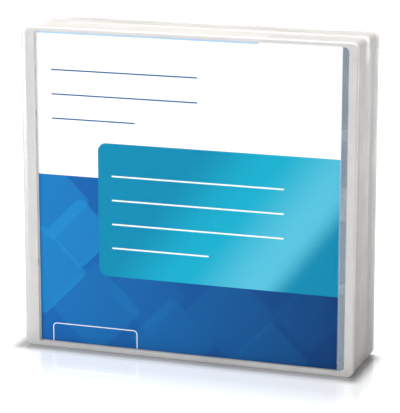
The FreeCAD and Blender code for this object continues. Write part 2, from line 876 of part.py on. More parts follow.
def coil(radius, wire, length, turns):
    """A coil spring's wire as a helix about Z from the origin."""
    pitch = (length - wire) / turns
    path = Part.makeHelix(pitch, length - wire, radius)
    circle = Part.makeCircle(
        wire / 2, FreeCAD.Vector(radius, 0, 0), FreeCAD.Vector(0, radius, pitch / (2 * math.pi))
    )
    spring = Part.Wire(path).makePipeShell([Part.Wire(circle)], True, True)
    spring.translate(FreeCAD.Vector(0, 0, wire / 2))
    return spring


def coil_of_half_turns(radius, wire, length, turns):
    """The same coil joined from half turns, each a copy of the first."""
    count = round(turns * 2)
    rise = (length - wire) / count
    first = coil(radius, wire, rise + wire, 0.5)
    pieces = []
    for step in range(count):
        piece = first.copy()
        piece.rotate(FreeCAD.Vector(0, 0, 0), FreeCAD.Vector(0, 0, 1), 180 * step)
        piece.translate(FreeCAD.Vector(0, 0, rise * step))
        pieces.append(piece)
    return joined(pieces)


def brake_spring():
    """The coil spring between the upper shell and the brake."""
    radius = guide_post_radius + guide_play + 1.4 + 0.4 + brake_wire / 2
    spring = coil_of_half_turns(radius, brake_wire, brake_front - inner_front - 0.1, brake_coils)
    spring.rotate(FreeCAD.Vector(0, 0, 0), FreeCAD.Vector(1, 0, 0), -90)
    spring.translate(FreeCAD.Vector(reel_x, inner_front + 0.05, reel_z))
    return spring


# Leader pin, door and slide

def leader_pin():
    """The steel pin at the tape's end, turned with a flange at each end."""
    low = inner_front + pin_play
    high = inner_back - pin_play
    return joined([
        disc(pin_x, pin_z, pin_radius, (low, high)),
        disc(pin_x, pin_z, pin_flange_radius, (low, low + pin_flange - 0.1)),
        disc(pin_x, pin_z, pin_flange_radius, (high - pin_flange + 0.1, high)),
    ])


def tape_clip():
    """The C-shaped clip that holds the tape on the pin."""
    middle = (flange_back + web_front) / 2
    y = (middle - tape_width / 2 + 0.3, middle + tape_width / 2 - 0.3)
    tube = ring(pin_x, pin_z, pin_radius + clip_wall, pin_radius, y)
    mouth = box((pin_x - 4, pin_x), y, (pin_z - 0.75, pin_z + 0.75))
    return tube.cut(mouth)


def pin_spring():
    """A U-shaped leaf spring whose two hooked arms hold the pin's neck in its seats."""
    front_leaf = inner_front + pin_play + pin_flange + 0.1
    back_leaf = inner_back - pin_play - pin_flange - 0.1
    low = (front_leaf, front_leaf + pin_spring_leaf)
    high = (back_leaf - pin_spring_leaf, back_leaf)
    inner = pin_radius + 0.05
    outer = inner + pin_spring_width
    parts = []
    top = pin_z + pin_spring_height
    for y in (low, high):
        hook = ring(pin_x, pin_z, outer, inner, y)
        mouth = box((pin_x, pin_x + 2 * outer), y, (pin_z - 2 * outer, pin_z + pin_radius * 0.4))
        parts.append(hook.cut(mouth))
        parts.append(box((pin_x - outer, pin_x - inner), y, (pin_z, top)))
    bridge = (top - 0.01, top + pin_spring_bridge)
    parts.append(box((pin_x - outer, pin_x - inner), (low[0], high[1]), bridge))
    return joined(parts)


def leader_door():
    """The sliding door inside the right wall, with an outer tab and a spring foot."""
    play = 0.65
    plate = box(
        (door_inner, door_outer),
        (inner_front + play, inner_back - play),
        (door_foot - door_lap + 0.3, door_head + door_lap + 0.4),
    )
    tab = box(
        (door_outer - 0.1, cart_right - 0.2),
        (parting - 4.0, parting + 4.0),
        (door_foot + 0.2, door_foot + 0.2 + door_tab),
    )
    foot = box(
        (door_inner - 1.25, door_inner + 0.1),
        (parting + door_foot_low, parting + door_foot_high),
        (door_head + 0.1, door_head + 0.1 + door_foot_thickness),
    )
    return joined([plate, tab, foot])


def door_spring():
    """The coil spring above the door that pushes it shut."""
    spring = coil(door_spring_radius, door_wire, door_spring_space - 0.1, 7)
    spring.translate(FreeCAD.Vector(door_inner, parting + 2.8, door_head + 1.35))
    return spring


def write_protect_slide():
    """The slide behind the label edge, with a nub in its window."""
    start = cart_right - slide_inset
    high = label_inner - slide_play
    plate = box(
        (start, start + slide_length),
        (parting - slide_width / 2, parting + slide_width / 2),
        (high - slide_thickness, high),
    )
    middle = start + slide_length / 2
    nub = box(
        (middle - nub_length / 2, middle + nub_length / 2),
        (parting - 2.2, parting + 2.2),
        (high - 0.1, cart_high - 0.25),
    )
    return joined([plate, nub])


for name, make in (
    ("case_front_shell", case_front_shell),
    ("case_back_shell", case_back_shell),
    ("insert_card", insert_card),
    ("cartridge_upper_shell", cartridge_upper_shell),
    ("cartridge_lower_shell", cartridge_lower_shell),
    ("shell_screws", shell_screws),
    ("memory_chip", memory_chip),
    ("reel_hub", reel_hub),
    ("reel_upper_flange", reel_upper_flange),
    ("hub_washer", hub_washer),
    ("brake_plate", brake_plate),
    ("brake_spring", brake_spring),
    ("release_spider", release_spider),
    ("tape_pack", tape_pack),
    ("tape_end", tape_end),
    ("leader_pin", leader_pin),
    ("tape_clip", tape_clip),
    ("pin_spring", pin_spring),
    ("leader_door", leader_door),
    ("door_spring", door_spring),
    ("write_protect_slide", write_protect_slide),
):
    write(name, make())
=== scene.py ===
"""Looks of a half-inch data tape cartridge in its translucent library case, for Blender 4.5."""
import math

import bpy
import numpy as np
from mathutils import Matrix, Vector


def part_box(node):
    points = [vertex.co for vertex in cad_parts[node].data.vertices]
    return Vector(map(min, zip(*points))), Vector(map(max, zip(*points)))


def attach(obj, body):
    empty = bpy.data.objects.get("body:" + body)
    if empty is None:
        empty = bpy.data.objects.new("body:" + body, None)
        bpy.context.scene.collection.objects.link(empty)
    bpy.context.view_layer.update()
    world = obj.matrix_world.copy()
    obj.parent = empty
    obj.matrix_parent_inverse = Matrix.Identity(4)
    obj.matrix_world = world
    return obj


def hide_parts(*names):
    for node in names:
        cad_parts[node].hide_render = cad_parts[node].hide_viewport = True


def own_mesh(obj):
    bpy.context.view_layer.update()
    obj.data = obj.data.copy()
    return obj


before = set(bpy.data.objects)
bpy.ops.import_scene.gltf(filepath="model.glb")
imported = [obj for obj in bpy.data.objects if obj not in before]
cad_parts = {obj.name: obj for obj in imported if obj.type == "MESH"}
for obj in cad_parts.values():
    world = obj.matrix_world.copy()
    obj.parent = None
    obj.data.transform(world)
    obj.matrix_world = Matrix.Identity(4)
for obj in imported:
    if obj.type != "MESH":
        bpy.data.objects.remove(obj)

bl_info = {
    "name": "Data tape cartridge in a library case",
    "version": (1, 0, 0),
    "blender": (4, 5, 0),
    "location": "View3D > Sidebar > Tape",
    "description": "Finishes of the case, card, cartridge and reel, and the stage they stand on",
    "category": "Object",
}

MM = 0.001
BOX = {node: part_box(node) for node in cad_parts}
WHITE = (1.0, 1.0, 1.0, 1.0)


def low(node):
    """Lowest corner of a node in millimetres."""
    return BOX[node][0] / MM


def high(node):
    """Highest corner of a node in millimetres."""
    return BOX[node][1] / MM


def linear(hex_colour):
    """An sRGB hex colour as linear red, green and blue, with an alpha of 1."""
    out = []
    for place in (1, 3, 5):
        value = int(hex_colour[place:place + 2], 16) / 255
        out.append(value / 12.92 if value <= 0.04045 else ((value + 0.055) / 1.055) ** 2.4)
    return (*out, 1.0)


def opaque(colour):
    """A colour property's linear red, green and blue, with the alpha of 1 that a socket takes."""
    return (colour[0], colour[1], colour[2], 1.0)


# Settings

def colour_property(name, description, hex_colour):
    """A colour, with its default as an sRGB hex value."""
    return bpy.props.FloatVectorProperty(
        name=name, description=description, default=linear(hex_colour)[:3], size=3, subtype="COLOR",
        min=0.0, max=1.0,
    )


def share_property(name, description, default):
    """A share from 0 to 1."""
    return bpy.props.FloatProperty(
        name=name, description=description, default=default, min=0.0, max=1.0, subtype="FACTOR"
    )


def length_property(name, description, default_mm):
    """A length in metres, with its default in millimetres."""
    return bpy.props.FloatProperty(
        name=name, description=description, default=default_mm * MM, unit="LENGTH", min=0.0
    )


def angle_property(name, description, default_degrees):
    """An angle in radians, with its default in degrees."""
    return bpy.props.FloatProperty(
        name=name, description=description, default=math.radians(default_degrees), subtype="ANGLE"
    )


class TapeCaseSettings(bpy.types.PropertyGroup):
    tint: colour_property("Case tint", "Colour of the frosted polypropylene", "#BEBBB7")
    haze: colour_property("Haze", "Its colour where a panel is thin and clear of the card", "#CAD6E2")
    rim_tint: colour_property("Rim tint", "Its colour on the borders, where it is seen in depth", "#D1CFCD")
    veil: share_property(
        "Veil", "How much of what is behind one surface the frosting hides, seen square on", 0.24
    )
    # The veil thickens towards the foot; the grain there is the same as elsewhere.
    foot_veil: share_property("Foot veil", "The same near the foot, where the grain is coarser", 0.28)
    rim_veil: share_property(
        "Rim veil", "The same on the panels' borders, where the walls are seen end on", 0.88
    )
    wall_veil: share_property("Wall veil", "The same on the walls at the sides, top and foot", 0.48)
    edge_veil: share_property("Edge veil", "The same, seen along the surface", 0.86)
    contact_veil: share_property(
        "Contact veil", "The same where the card lies against the front panel", 0.002
    )
    through: share_property(
        "Through", "Share of the scattered light that goes on through the wall", 0.14
    )
    left_border: length_property("Left border", "Width of the dense border at the hinge", 6.2)
    right_border: length_property("Right border", "Width of the dense border at the opening side", 3.0)
    top_border: length_property("Top border", "Width of the dense border at the top", 1.5)
    foot_border: length_property("Foot border", "Width of the dense border at the foot", 1.9)
    grain: length_property("Grain", "Spacing of the moulded grain", 0.55)
    streak: length_property("Streaks", "Spacing of the streaks that the mould draws along the walls", 2.6)


class TapeCardSettings(bpy.types.PropertyGroup):
    ground: colour_property("Card stock", "Unprinted coated card", "#FDFDFD")
    fold: colour_property("Fold line", "Line printed along the fold", "#A3C7E8")
    field_light: colour_property("Field, light end", "Lower printed field at its left end", "#165FA6")
    field_deep: colour_property("Field, deep end", "Lower printed field at its right end", "#0C376C")
    motif: colour_property("Motifs", "Colour that the overlapping motifs lay over the field", "#1F8AC4")
    panel: colour_property("Panel", "Flat colour of the panel", "#0C81A5")
    panel_mid: colour_property("Panel middle", "Middle colour of the panel's printed highlight", "#14A1BE")
    panel_shine: colour_property(
        "Panel highlight", "Brightest colour of the panel's printed highlight", "#52B6CF"
    )
    outline: colour_property("Outline", "Outline at the foot and ruled lines on the panel", "#F1F6FA")
    rule: colour_property("Rules", "Ruled lines to write on, on the white ground", "#1B5C94")


class TapeCartridgeSettings(bpy.types.PropertyGroup):
    shell: colour_property("Shell", "Moulded polycarbonate of the cartridge", "#2D4563")
    shell_grain: length_property("Shell grain", "Spacing of the eroded grain on the cartridge", 0.35)
    slide: colour_property("Slide", "Write-protect slide", "#B5472A")
    door: colour_property("Door", "Leader door", "#232F48")


class TapeReelSettings(bpy.types.PropertyGroup):
    reel: colour_property("Reel", "Glass-filled plastic of the hub and flanges", "#C9C9C4")
    brake: colour_property("Brake", "Acetal of the brake and its release plate", "#E6E1D4")
    film: colour_property("Tape", "Edge of the wound tape", "#2A221E")
    steel: colour_property("Steel", "Pin, washer, screws and springs", "#C4C4C6")
    door_wire: length_property("Door spring's wire", "Thickness of the wire of the door's spring", 0.3)
    door_turns: bpy.props.IntProperty(
        name="Door spring's turns", description="Turns of the door's coil spring", default=7, min=1
    )


class TapeStageSettings(bpy.types.PropertyGroup):
    floor_size: length_property("Floor", "Width of the floor", 6000.0)
    lens: bpy.props.FloatProperty(
        name="Lens", description="Camera lens in millimetres", default=177.15, min=10.0
    )
    distance: length_property("Distance", "Camera to the middle of the case", 688.33)
    azimuth: angle_property("Azimuth", "Camera's turn to the right of the front", 19.095)
    elevation: angle_property("Elevation", "Camera's height above level", 13.402)


# Materials

# Half the width in millimetres over which one print or finish gives way to the next.
EDGE = 0.06

# Sockets of a Mix node, whose own names repeat: the factor, two numbers and two colours.
FACTOR, A, B, COLOUR_A, COLOUR_B = 0, 2, 3, 6, 7


def add(tree, kind, inputs=(), **settings):
    """Adds a node with its settings. Inputs go to its sockets in order, or by name or number: a value, a
    socket, or a node whose first output in use is linked."""
    node = tree.nodes.new("ShaderNode" + kind)
    for name, value in settings.items():
        setattr(node, name, value)
    for key, value in inputs.items() if isinstance(inputs, dict) else enumerate(inputs):
        if isinstance(value, bpy.types.Node):
            value = next(socket for socket in value.outputs if socket.enabled)
        if isinstance(value, bpy.types.NodeSocket):
            tree.links.new(value, node.inputs[key])
        else:
            node.inputs[key].default_value = value
    return node


def blank_material(name):
    """A new material and its empty node tree."""
    material = bpy.data.materials.new(name)
    material.use_nodes = True
    material.node_tree.nodes.clear()
    return material, material.node_tree


def places(tree):
    """Object coordinates in millimetres: the vector, and its x, y and z."""
    coordinates = add(tree, "TexCoord").outputs["Object"]
    vector = add(tree, "VectorMath", {"Vector": coordinates, "Scale": 1 / MM}, operation="SCALE")
    split = add(tree, "SeparateXYZ", (vector,))
    return vector, split.outputs["X"], split.outputs["Y"], split.outputs["Z"]


def finish(material, *nodes):
    """Gives CAD nodes their material."""
    for node in nodes:
        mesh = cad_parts[node].data
        if not mesh.materials:
            raise RuntimeError(f"{node} has no material slot")
        for index in range(len(mesh.materials)):
            mesh.materials[index] = material


def rounded_box(tree, across, up, box, radius):
    """Distance outside a rounded box in millimetres, below zero inside: the length of how far a point lies
    past the box's inner corners, plus how deep it lies inside them, less the radius."""
    middle = ((box[0] + box[1]) / 2, (box[2] + box[3]) / 2, 0.0)
    half = ((box[1] - box[0]) / 2 - radius, (box[3] - box[2]) / 2 - radius, 0.0)
    point = add(tree, "CombineXYZ", (across, up))
    point = add(tree, "VectorMath", (point, middle), operation="SUBTRACT")
    point = add(tree, "VectorMath", (point,), operation="ABSOLUTE")
    point = add(tree, "VectorMath", (point, half), operation="SUBTRACT")
    past = add(tree, "VectorMath", (point, (0.0, 0.0, 0.0)), operation="MAXIMUM")
    length = add(tree, "VectorMath", (past,), operation="LENGTH").outputs["Value"]
    split = add(tree, "SeparateXYZ", (point,))
    depth = add(tree, "Math", (split.outputs["X"], split.outputs["Y"]), operation="MAXIMUM")
    depth = add(tree, "Math", (depth, 0.0), operation="MINIMUM")
    distance = add(tree, "Math", (length, depth), operation="ADD")
    return add(tree, "Math", (distance, radius), operation="SUBTRACT")


def inked(tree, distance, below, ink):
    """The ink over the colour below wherever a shape's distance is below zero."""
    mask = add(tree, "MapRange", {"Value": distance, "From Min": EDGE, "From Max": -EDGE})
    return add(tree, "Mix", {FACTOR: mask, COLOUR_A: below, COLOUR_B: ink}, data_type="RGBA")


# The case's frosting, in millimetres: the corners and the fade of the window inside a panel's dense border,
# how far inside the card's plane the walls start, how far behind its front the panel still touches it, and
# the spacing of a slow unevenness. The streaks are long along the height, shorter along the width and not
# stretched along the depth.
WINDOW_RADIUS = 1.7
WINDOW_FADE = 0.15
WALL_START = 0.1
CONTACT_DEPTH = 0.02
CLOUD_SPACING = 9.0
STREAK_SCALE = (0.12, 1.0, 0.03)

# How late the thicker veil near the foot sets in on the way down, and the thicker veil as a surface turns
# away.
FOOT_POWER = 1.6
GRAZING_POWER = 2.6


def frosted_polypropylene(settings):
    """Injection-moulded translucent polypropylene with a fine eroded grain. To the eye it is a pale veil over
    what lies behind it, thicker at grazing angles and on the borders, where walls are seen end on, streaked
    along the walls, a little uneven, and all but gone where the card lies against the panel. The real grain
    is near 0.1 mm, and is drawn coarser so that it shows."""
    material, tree = blank_material("frosted_polypropylene")
    vector, x, y, z = places(tree)
    card_low, card_high = low("insert_card"), high("insert_card")
    case_low, case_high = low("case_back_shell"), high("case_front_shell")

    window = (
        case_low[0] + settings.left_border / MM,
        case_high[0] - settings.right_border / MM,
        settings.foot_border / MM,
        case_high[2] - settings.top_border / MM,
    )
    past_window = rounded_box(tree, x, z, window, WINDOW_RADIUS)
    border = add(
        tree, "MapRange", {"Value": past_window, "From Min": -WINDOW_FADE, "From Max": WINDOW_FADE},
        interpolation_type="SMOOTHSTEP",
    )
    from_middle = add(tree, "Math", (y,), operation="ABSOLUTE")
    in_wall = add(tree, "Math", (from_middle, -card_low[1] - WALL_START), operation="LESS_THAN")

    dense = add(tree, "Mix", {FACTOR: in_wall, A: settings.rim_veil, B: settings.wall_veil})
    # The veil thickens from the top towards the foot.
    down = add(tree, "MapRange", {"Value": z, "From Min": case_high[2], "From Max": 0.0})
    toward_foot = add(tree, "Math", (down, FOOT_POWER), operation="POWER")
    open_part = add(tree, "Mix", {FACTOR: toward_foot, A: settings.veil, B: settings.foot_veil})
    square_on = add(tree, "Mix", {FACTOR: border, A: open_part, B: dense})
    facing = add(tree, "LayerWeight", {"Blend": 0.5}).outputs["Facing"]
    grazing = add(tree, "Math", (facing, GRAZING_POWER), operation="POWER")
    veil = add(tree, "Mix", {FACTOR: grazing, A: square_on, B: settings.edge_veil})

    drawn = add(tree, "Mapping", {"Vector": vector, "Scale": STREAK_SCALE})
    for pattern, spacing, change in (
        (vector, CLOUD_SPACING, 0.06),
        (vector, settings.grain / MM, 0.03),
        (drawn, settings.streak / MM, 0.1),
    ):
        cloud = add(tree, "TexNoise", {"Vector": pattern, "Scale": 1 / spacing, "Detail": 3.0})
        uneven = add(tree, "MapRange", {
            "Value": cloud, "From Min": 0.3, "From Max": 0.7, "To Min": 1 - change, "To Max": 1 + change,
        })
        veil = add(tree, "Math", (veil, uneven), operation="MULTIPLY", use_clamp=True)

    card = (card_low[0], card_high[0], card_low[2], card_high[2])
    past_card = rounded_box(tree, x, z, card, 0.1)
    behind = add(tree, "MapRange", {"Value": past_card, "From Min": EDGE, "From Max": -EDGE})
    in_panel = add(tree, "Math", (y, card_low[1] + CONTACT_DEPTH), operation="LESS_THAN")
    contact = add(tree, "Math", (behind, in_panel), operation="MULTIPLY")
    alpha = add(tree, "Mix", {FACTOR: contact, A: veil, B: settings.contact_veil})

    haze, rim_tint = opaque(settings.haze), opaque(settings.rim_tint)
    panel = add(tree, "Mix", {FACTOR: border, COLOUR_A: haze, COLOUR_B: rim_tint}, data_type="RGBA")
    tint = add(
        tree, "Mix", {FACTOR: in_wall, COLOUR_A: panel, COLOUR_B: opaque(settings.tint)}, data_type="RGBA"
    )
    grain = add(tree, "TexNoise", {"Vector": vector, "Scale": MM / settings.grain, "Detail": 2.0})
    normal = add(tree, "Bump", {"Height": grain, "Strength": 0.35, "Distance": 0.01 * MM})
    surface = add(tree, "BsdfPrincipled", {
        "Base Color": tint, "Roughness": 0.42, "IOR": 1.49, "Specular IOR Level": 0.12, "Normal": normal,
    })
    forward = add(tree, "BsdfTranslucent", {"Color": tint, "Normal": normal})
    scattered = add(tree, "MixShader", (settings.through, surface, forward))
    mixed = add(tree, "MixShader", (alpha, add(tree, "BsdfTransparent"), scattered))
    add(tree, "OutputMaterial", (mixed,))
    return material


# The card's print, in millimetres. A box is its left, right, foot and top, and a diamond is its middle, its
# half width and its strength.
FIELD_TOP = 60.8
PANEL = (-31.4, 70.0, 26.8, 72.9)
PANEL_RADIUS = 3.0
OUTLINE = (-48.6, -17.8, -8.0, 8.3)
OUTLINE_RADIUS = 1.3
OUTLINE_HALF_WIDTH = 0.14
GROUND_RULES = ((-48.0, 4.0, 96.6, 97.1), (-48.0, 4.0, 88.3, 88.8), (-48.0, -18.0, 80.0, 80.5))
PANEL_RULES = (
    (-26.5, 34.0, 61.4, 61.9),
    (-26.5, 34.0, 53.1, 53.6),
    (-26.5, 34.0, 44.8, 45.3),
    (-26.5, 8.0, 36.5, 37.0),
)
RULE_RADIUS = 0.2
DIAMONDS = (
    ((-49.0, 52.0), 10.5, 0.40),
    ((-38.0, 41.0), 9.0, 0.55),
    ((-52.0, 27.0), 11.5, 0.50),
    ((-33.0, 15.0), 12.0, 0.20),
    ((-14.0, 22.0), 10.0, 0.12),
    ((-5.0, 6.0), 11.0, 0.20),
    ((16.0, 17.0), 11.5, 0.16),
    ((30.0, 3.0), 9.5, 0.22),
    ((43.0, 19.0), 9.0, 0.12),
)
DIAMOND_RADIUS = 2.2
DIAMOND_FADE = 0.25

# The panel's highlight leans to the right by HIGHLIGHT_LEAN for each unit of height above HIGHLIGHT_FOOT.
HIGHLIGHT_LEAN = 0.77
HIGHLIGHT_FOOT = 29.0

# The line along the fold ends at FOLD_END and is FOLD_WIDTH high. A white strip LEFT_WHITE_STRIP wide runs
# along the left edge. The print is PRINT_DEPTH deep, so that the card's cut edges stay white. OVER carries a
# box past the card.
FOLD_END = 25.0
FOLD_WIDTH = 0.75
LEFT_WHITE_STRIP = 0.2
PRINT_DEPTH = 0.06
OVER = 5.0
FIBRE_SPACING = 0.6


def printed_card(settings):
    """Coated card printed in flat offset colours, with the soft sheen and faint relief of its fibres: white
    stock, a blue field with overlapping tinted diamonds, a panel with a printed highlight, ruled lines to
    write on, and a plain outline at the foot. Its back and its edges stay white."""
    material, tree = blank_material("printed_coated_card")
    vector, x, y, z = places(tree)
    card_low, card_high = low("insert_card"), high("insert_card")
    white = opaque(settings.ground)

    along = add(tree, "MapRange", {"Value": x, "From Min": card_low[0], "From Max": card_high[0]})
    light, deep = opaque(settings.field_light), opaque(settings.field_deep)
    field = add(tree, "Mix", {FACTOR: along, COLOUR_A: light, COLOUR_B: deep}, data_type="RGBA")
    fade = add(tree, "MapRange", {"Value": along, "To Min": 1.0, "To Max": DIAMOND_FADE})
    turned = add(tree, "Mapping", {"Vector": vector, "Rotation": (0.0, math.radians(45.0), 0.0)})
    turned = add(tree, "SeparateXYZ", (turned,))
    half_root = math.sqrt(0.5)
    for (centre_x, centre_z), size, strength in DIAMONDS:
        across = (centre_x + centre_z) * half_root
        up = (centre_z - centre_x) * half_root
        box = (across - size, across + size, up - size, up + size)
        distance = rounded_box(tree, turned.outputs["X"], turned.outputs["Z"], box, DIAMOND_RADIUS)
        shape = add(tree, "MapRange", {
            "Value": distance, "From Min": EDGE, "From Max": -EDGE, "To Max": strength,
        })
        shape = add(tree, "Math", (shape, fade), operation="MULTIPLY")
        field = add(
            tree, "Mix", {FACTOR: shape, COLOUR_A: field, COLOUR_B: opaque(settings.motif)}, data_type="RGBA"
        )
    colour = inked(tree, add(tree, "Math", (z, FIELD_TOP), operation="SUBTRACT"), white, field)

    lean = add(tree, "Math", (z, -HIGHLIGHT_LEAN, HIGHLIGHT_LEAN * HIGHLIGHT_FOOT), operation="MULTIPLY_ADD")
    slant = add(tree, "Math", (x, lean), operation="ADD")
    panel = opaque(settings.panel)
    for ink, start, end in (
        (settings.panel_mid, -31.0, -1.0),
        (settings.panel_shine, -1.0, 25.0),
        (settings.panel, 27.0, 39.0),
    ):
        rise = add(
            tree, "MapRange", {"Value": slant, "From Min": start, "From Max": end},
            interpolation_type="SMOOTHSTEP",
        )
        panel = add(tree, "Mix", {FACTOR: rise, COLOUR_A: panel, COLOUR_B: opaque(ink)}, data_type="RGBA")
    colour = inked(tree, rounded_box(tree, x, z, PANEL, PANEL_RADIUS), colour, panel)

    for boxes, ink in ((GROUND_RULES, settings.rule), (PANEL_RULES, settings.outline)):
        for box in boxes:
            colour = inked(tree, rounded_box(tree, x, z, box, RULE_RADIUS), colour, opaque(ink))
    line = add(tree, "Math", (rounded_box(tree, x, z, OUTLINE, OUTLINE_RADIUS),), operation="ABSOLUTE")
    line = add(tree, "Math", (line, OUTLINE_HALF_WIDTH), operation="SUBTRACT")
    colour = inked(tree, line, colour, opaque(settings.outline))

    fold = (card_low[0] - OVER, FOLD_END, card_high[2] - FOLD_WIDTH, card_high[2] + OVER)
    colour = inked(tree, rounded_box(tree, x, z, fold, 0.1), colour, opaque(settings.fold))
    # A white strip along the card's left edge.
    from_edge = add(tree, "Math", (x, card_low[0] + LEFT_WHITE_STRIP), operation="SUBTRACT")
    colour = inked(tree, from_edge, colour, white)
    front = add(tree, "Math", (y, card_low[1] + PRINT_DEPTH), operation="LESS_THAN")
    colour = add(tree, "Mix", {FACTOR: front, COLOUR_A: white, COLOUR_B: colour}, data_type="RGBA")

    fibre = add(tree, "TexNoise", {"Vector": vector, "Scale": 1 / FIBRE_SPACING, "Detail": 3.0})
    normal = add(tree, "Bump", {"Height": fibre, "Strength": 0.2, "Distance": 0.006 * MM})
    surface = add(tree, "BsdfPrincipled", {
        "Base Color": colour, "Roughness": 0.55, "Specular IOR Level": 0.04, "Normal": normal,
    })
    add(tree, "OutputMaterial", (surface,))
    return material


# Spacing in millimetres of a moulding's slow change of tone, and of the rings on the wound tape.
TONE_SPACING = 14.0
RING_SPACING = 0.5


def moulded(name, colour, spacing, roughness, depth=0.02, tone=0.08, specular=0.5):
    """A moulded plastic: its grain breaks up the gloss, and its tone changes slowly as thick and thin walls
    give. Grain spacing and depth are in millimetres. A real grain is finer, and is drawn so that it shows."""
    material, tree = blank_material(name)
    vector = places(tree)[0]
    grain = add(tree, "TexNoise", {"Vector": vector, "Scale": 1 / spacing, "Detail": 2.0, "Roughness": 0.6})
    slow = add(tree, "TexNoise", {"Vector": vector, "Scale": 1 / TONE_SPACING, "Detail": 2.0})
    pale = add(tree, "Math", (slow, tone), operation="MULTIPLY")
    base = add(tree, "Mix", {FACTOR: pale, COLOUR_A: opaque(colour), COLOUR_B: WHITE}, data_type="RGBA")
    rough = add(tree, "MapRange", {"Value": grain, "To Min": roughness - 0.05, "To Max": roughness + 0.07})
    normal = add(tree, "Bump", {"Height": grain, "Strength": 0.5, "Distance": depth * MM})
    surface = add(tree, "BsdfPrincipled", {
        "Base Color": base, "Roughness": rough, "IOR": 1.5, "Specular IOR Level": specular, "Normal": normal,
    })
    add(tree, "OutputMaterial", (surface,))
    return material


def drawn_steel(name, colour, roughness, spacing=0.25):
    """Steel that was drawn, stamped or turned: fine scratches round a metal's own gloss. Real scratches are
    some hundredths of a millimetre apart, and are drawn coarser so that they show."""
    material, tree = blank_material(name)
    stretched = add(tree, "Mapping", {"Vector": places(tree)[0], "Scale": (1.0, 0.12, 1.0)})
    lines = add(tree, "TexNoise", {
        "Vector": stretched, "Scale": 1 / spacing, "Detail": 3.0, "Roughness": 0.6,
    })
    rough = add(tree, "MapRange", {"Value": lines, "To Min": roughness - 0.06, "To Max": roughness + 0.1})
    normal = add(tree, "Bump", {"Height": lines, "Strength": 0.4, "Distance": 0.004 * MM})
    surface = add(tree, "BsdfPrincipled", {
        "Base Color": opaque(colour), "Metallic": 1.0, "Roughness": rough, "Normal": normal,
    })
    add(tree, "OutputMaterial", (surface,))
    return material


def wound_film(settings):
    """Edge of polyester film wound under tension: dark, glossy on the outside, with fine rings on the faces
    where single turns stand a little proud. A turn is under 0.01 mm thick, so the rings are bundles of turns,
    half a millimetre wide."""
    material, tree = blank_material("wound_polyester_film")
    middle = (low("tape_pack") + high("tape_pack")) / 2
    from_axis = add(tree, "VectorMath", (places(tree)[0], tuple(middle)), operation="SUBTRACT")
    flat = add(tree, "VectorMath", (from_axis, (1.0, 0.0, 1.0)), operation="MULTIPLY")
    radius = add(tree, "VectorMath", (flat,), operation="LENGTH").outputs["Value"]
    turns = add(tree, "CombineXYZ", (radius,))
    rings = add(tree, "TexNoise", {
        "Vector": turns, "Scale": 1 / RING_SPACING, "Detail": 4.0, "Roughness": 0.7,
    })
    pale = add(tree, "Math", (rings, 0.25), operation="MULTIPLY")
    proud = linear("#6B5A50")
    base = add(
        tree, "Mix", {FACTOR: pale, COLOUR_A: opaque(settings.film), COLOUR_B: proud}, data_type="RGBA"
    )
    normal = add(tree, "Bump", {"Height": rings, "Strength": 0.6, "Distance": 0.02 * MM})
    surface = add(tree, "BsdfPrincipled", {
        "Base Color": base, "Roughness": 0.28, "IOR": 1.6, "Normal": normal,
    })
    add(tree, "OutputMaterial", (surface,))
    return material


# Stage

# The floor's whiteness by its distance from the object in millimetres: FOOT_WHITE up to NEAR, a painted shade
# by the object's foot, OPEN_WHITE from CLEAR on, and FAR_WHITE more by FAR. Distance to the side counts
# SIDE_PACE times, so that the painted light away from the object comes sooner beside it and pales the shadows
# cast there.
NEAR, CLEAR, FAR = 15.0, 80.0, 500.0
FOOT_WHITE, OPEN_WHITE, FAR_WHITE = 0.53, 1.1, 2.4
SIDE_PACE = 3.0
FLOOR_BOUNCE = (0.46, 0.46, 0.46, 1.0)
FLOOR_GLOSS = 0.28
ROOM_LIGHT = (0.205, 0.21, 0.22, 1.0)

# Each lamp's name, its place, the spot it points at, its width and height in metres, and its power in watts.
LAMPS = (
    ("key_softbox", (-0.5, -0.78, 0.27), (0.0, 0.0, 0.05), (0.6, 0.5), 5.6),
    ("top_softbox", (0.0, 0.085, 2.4), (0.0, 0.0, 0.0), (0.08, 0.1), 92.0),
    ("side_softbox", (0.9, -0.35, 0.8), (0.05, 0.0, 0.08), (0.6, 0.6), 2.6),
)
CAMERA_TARGET = (0.000603, 0.0, 0.050545)


def studio_floor(size):
    """A square grid in which each point is a place on the floor, flat under the object."""
    steps = np.linspace(-0.5, 0.5, 9)
    across, along = np.meshgrid(steps * size, steps * size, indexing="ij")
    points = np.stack([across, along, np.zeros_like(across)], axis=-1).reshape(-1, 3)
    index = np.arange(points.shape[0]).reshape(across.shape)
    faces = np.stack([index[:-1, :-1], index[1:, :-1], index[1:, 1:], index[:-1, 1:]], axis=-1)
    mesh = bpy.data.meshes.new("studio_floor")
    mesh.from_pydata(points.tolist(), [], faces.reshape(-1, 4).tolist())
    mesh.update()
    floor = bpy.data.objects.new("studio_floor", mesh)
    bpy.context.scene.collection.objects.link(floor)
    return floor


def seen_directly(tree):
    """1 for the camera and for what shows in gloss and glass, 0 for light on its way to other surfaces."""
    path = add(tree, "LightPath")
    seen = add(
        tree, "Math", (path.outputs["Is Camera Ray"], path.outputs["Is Glossy Ray"]), operation="MAXIMUM"
    )
    return add(tree, "Math", (seen, path.outputs["Is Transmission Ray"]), operation="MAXIMUM")


